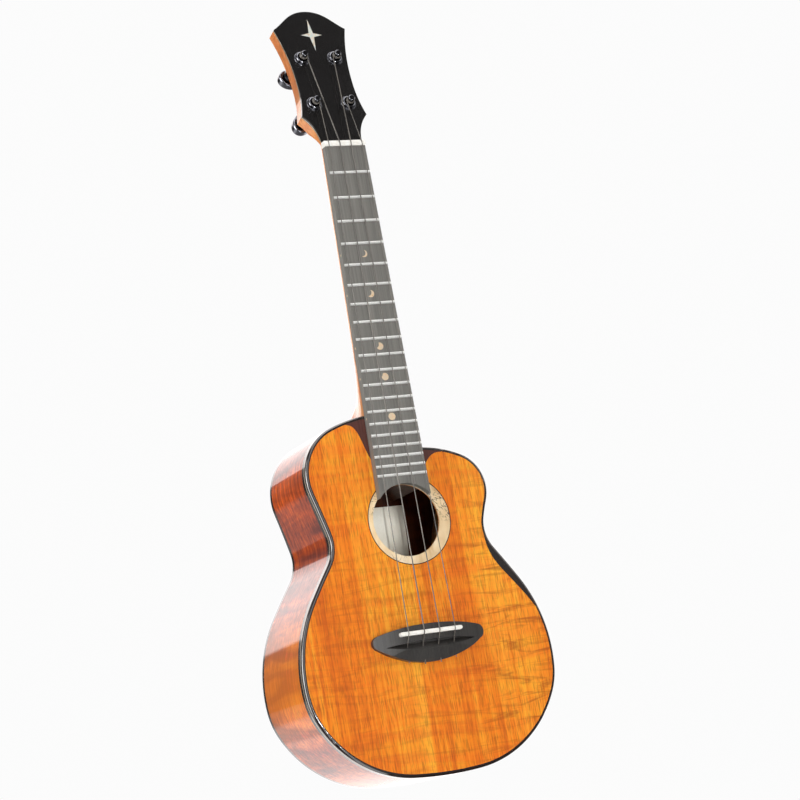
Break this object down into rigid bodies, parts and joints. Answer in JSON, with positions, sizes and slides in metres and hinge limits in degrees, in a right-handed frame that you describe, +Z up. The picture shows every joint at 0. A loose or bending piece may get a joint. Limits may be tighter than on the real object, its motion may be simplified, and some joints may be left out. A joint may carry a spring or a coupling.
{
  "type": "concert ukulele",
  "caption": "Concert ukulele with an arched tapered back, a lopsided body, a soundhole ringed in pale wood, coaxial tuners and a tie bridge.",
  "frame": {"origin": "middle of the nut's lower edge, on the playing surface of the fretboard", "axes": "+Z up the neck to the head, +Y from the front to the back, +X to the treble side"},
  "size_m": [0.2078, 0.094, 0.6107],
  "materials": {
    "koa_top": "polished koa",
    "koa_back": "polished koa",
    "koa_side": "polished koa",
    "binding": "gloss black",
    "maple": "polished spalted maple",
    "mahogany": "satin mahogany",
    "lining": "bare kerfed wood",
    "spruce": "bare spruce",
    "paper": "plain paper",
    "veneer": "gloss black veneer",
    "line_veneer": "pale line",
    "pearl": "mother of pearl",
    "ebony": "satin ebony",
    "nickel": "nickel silver",
    "bone": "polished bone",
    "nylon": "clear nylon",
    "black_metal": "black plated",
    "chrome_dark": "black chrome",
    "brass": "brass",
    "steel": "steel",
    "knob": "gloss black"
  },
  "bodies": {
    "instrument": {"soundboard": "koa_top", "front_binding": "binding", "back_plate": "koa_back", "back_binding": "binding", "side_bass": "koa_side", "side_treble": "koa_side", "end_graft": "binding", "shoulder_wedges": "binding", "waist_bevel": "binding", "rosette": "maple", "rosette_border": "binding", "neck_block": "mahogany", "tail_block": "mahogany", "top_lining": "lining", "back_lining": "lining", "top_braces": "spruce", "bridge_plate": "maple", "back_braces": "spruce", "label": "paper", "neck": "mahogany", "heel_cap": "binding", "head_veneer": "veneer", "head_line_veneer": "line_veneer", "head_under_veneer": "veneer", "head_inlay": "pearl", "fretboard": "ebony", "frets": "nickel", "position_markers": "pearl", "nut": "bone", "saddle": "bone", "bridge": "ebony", "string_1": "nylon", "string_2": "nylon", "string_3": "nylon", "string_4": "nylon", "tuner_housings": "black_metal", "tuner_covers": "black_metal", "tuner_washers": "black_metal", "tuner_bushings": "black_metal"},
    "string_post_1": {"post_1": "chrome_dark", "planet_gears_1": "brass"},
    "tuner_knob_1": {"sun_shaft_1": "steel", "knob_1": "knob", "knob_screw_1": "steel"},
    "string_post_2": {"post_2": "chrome_dark", "planet_gears_2": "brass"},
    "tuner_knob_2": {"sun_shaft_2": "steel", "knob_2": "knob", "knob_screw_2": "steel"},
    "string_post_3": {"post_3": "chrome_dark", "planet_gears_3": "brass"},
    "tuner_knob_3": {"sun_shaft_3": "steel", "knob_3": "knob", "knob_screw_3": "steel"},
    "string_post_4": {"post_4": "chrome_dark", "planet_gears_4": "brass"},
    "tuner_knob_4": {"sun_shaft_4": "steel", "knob_4": "knob", "knob_screw_4": "steel"}
  },
  "joints": [
    {"name": "knob_1_turn", "type": "hinge", "parent": "instrument", "child": "tuner_knob_1", "pos_m": [-0.0146, 0.01178, 0.03871], "axis": [0, -0.9744, 0.225], "continuous": true},
    {"name": "post_1_turn", "type": "hinge", "parent": "instrument", "child": "string_post_1", "pos_m": [-0.0146, 0.01178, 0.03871], "axis": [0, -0.9744, 0.225], "continuous": true},
    {"name": "knob_2_turn", "type": "hinge", "parent": "instrument", "child": "tuner_knob_2", "pos_m": [-0.0142, 0.02123, 0.07964], "axis": [0, -0.9744, 0.225], "continuous": true},
    {"name": "post_2_turn", "type": "hinge", "parent": "instrument", "child": "string_post_2", "pos_m": [-0.0142, 0.02123, 0.07964], "axis": [0, -0.9744, 0.225], "continuous": true},
    {"name": "knob_3_turn", "type": "hinge", "parent": "instrument", "child": "tuner_knob_3", "pos_m": [0.0142, 0.02123, 0.07964], "axis": [0, -0.9744, 0.225], "continuous": true},
    {"name": "post_3_turn", "type": "hinge", "parent": "instrument", "child": "string_post_3", "pos_m": [0.0142, 0.02123, 0.07964], "axis": [0, -0.9744, 0.225], "continuous": true},
    {"name": "knob_4_turn", "type": "hinge", "parent": "instrument", "child": "tuner_knob_4", "pos_m": [0.0146, 0.01178, 0.03871], "axis": [0, -0.9744, 0.225], "continuous": true},
    {"name": "post_4_turn", "type": "hinge", "parent": "instrument", "child": "string_post_4", "pos_m": [0.0146, 0.01178, 0.03871], "axis": [0, -0.9744, 0.225], "continuous": true}
  ],
  "couplings": [
    {"joint": "post_1_turn", "follows": "knob_1_turn", "ratio": 0.25},
    {"joint": "post_2_turn", "follows": "knob_2_turn", "ratio": 0.25},
    {"joint": "post_3_turn", "follows": "knob_3_turn", "ratio": 0.25},
    {"joint": "post_4_turn", "follows": "knob_4_turn", "ratio": 0.25}
  ]
}
